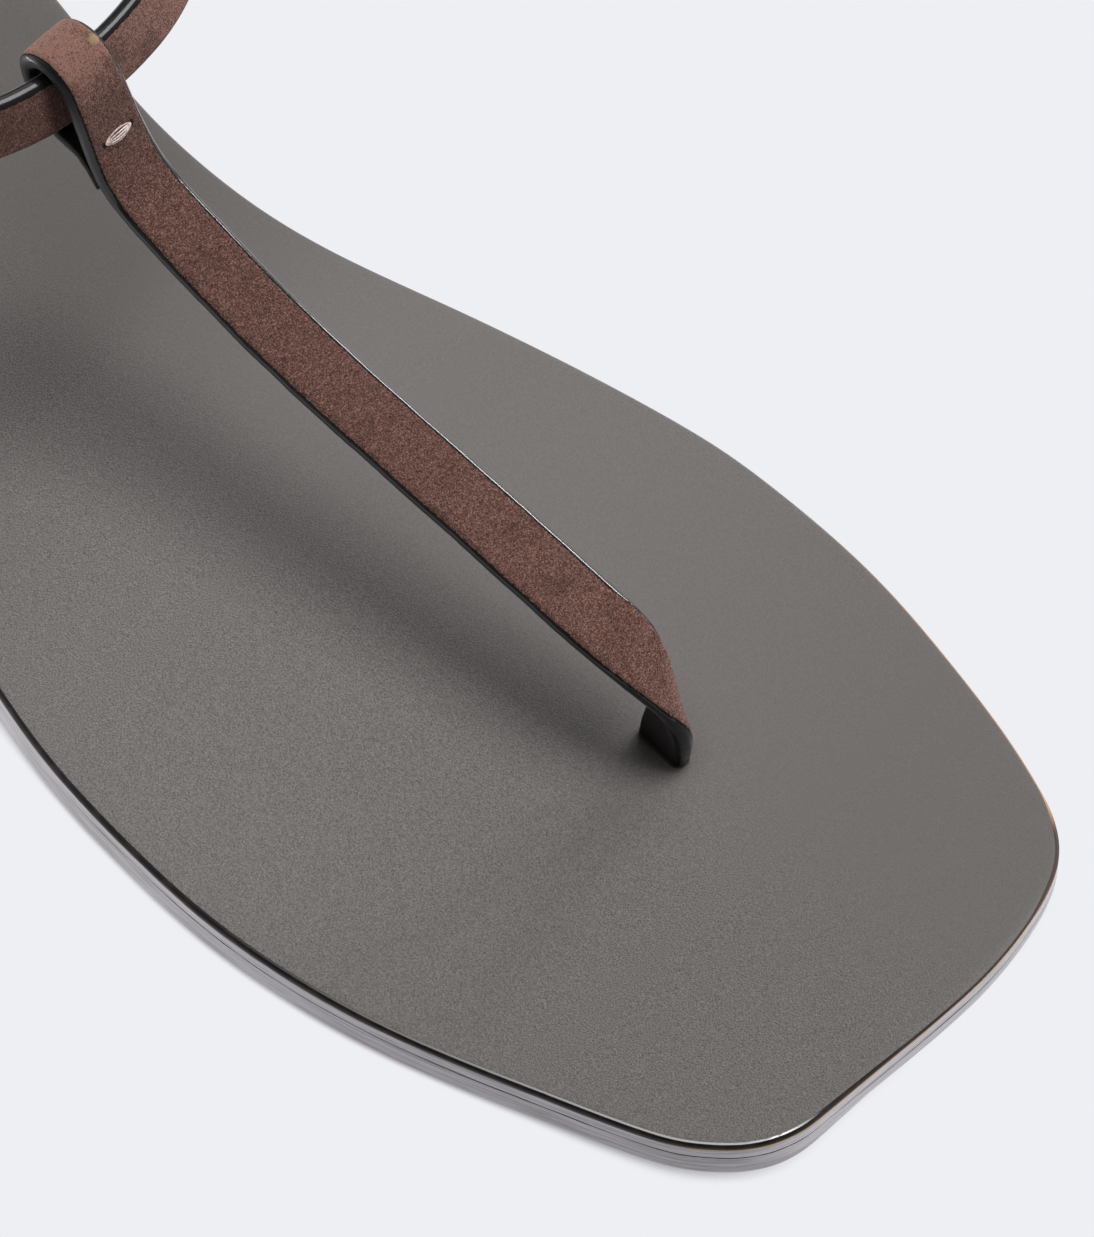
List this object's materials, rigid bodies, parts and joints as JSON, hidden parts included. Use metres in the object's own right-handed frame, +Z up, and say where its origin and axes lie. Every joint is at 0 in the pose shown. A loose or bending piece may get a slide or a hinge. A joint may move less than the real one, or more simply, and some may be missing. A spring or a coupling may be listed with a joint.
{
  "type": "toe post sandal",
  "caption": "Flat leather sandal for the right foot: a square-toed layered sole, a suede toe post strap over the foot, and an ankle strap threaded through the strap's folded end.",
  "frame": {"origin": "on the floor under the middle of the sole's outline", "axes": "+X towards the big toe side, +Y towards the heel, +Z up"},
  "size_m": [0.0914, 0.2496, 0.0637],
  "materials": {
    "sole_leather": "polished edge",
    "footbed_leather": "matte fine grain",
    "suede": "suede nap"
  },
  "bodies": {
    "root": {"outsole": "sole_leather", "midsole": "sole_leather", "footbed": "footbed_leather", "toe_strap": "suede", "ankle_strap": "suede"}
  },
  "joints": []
}
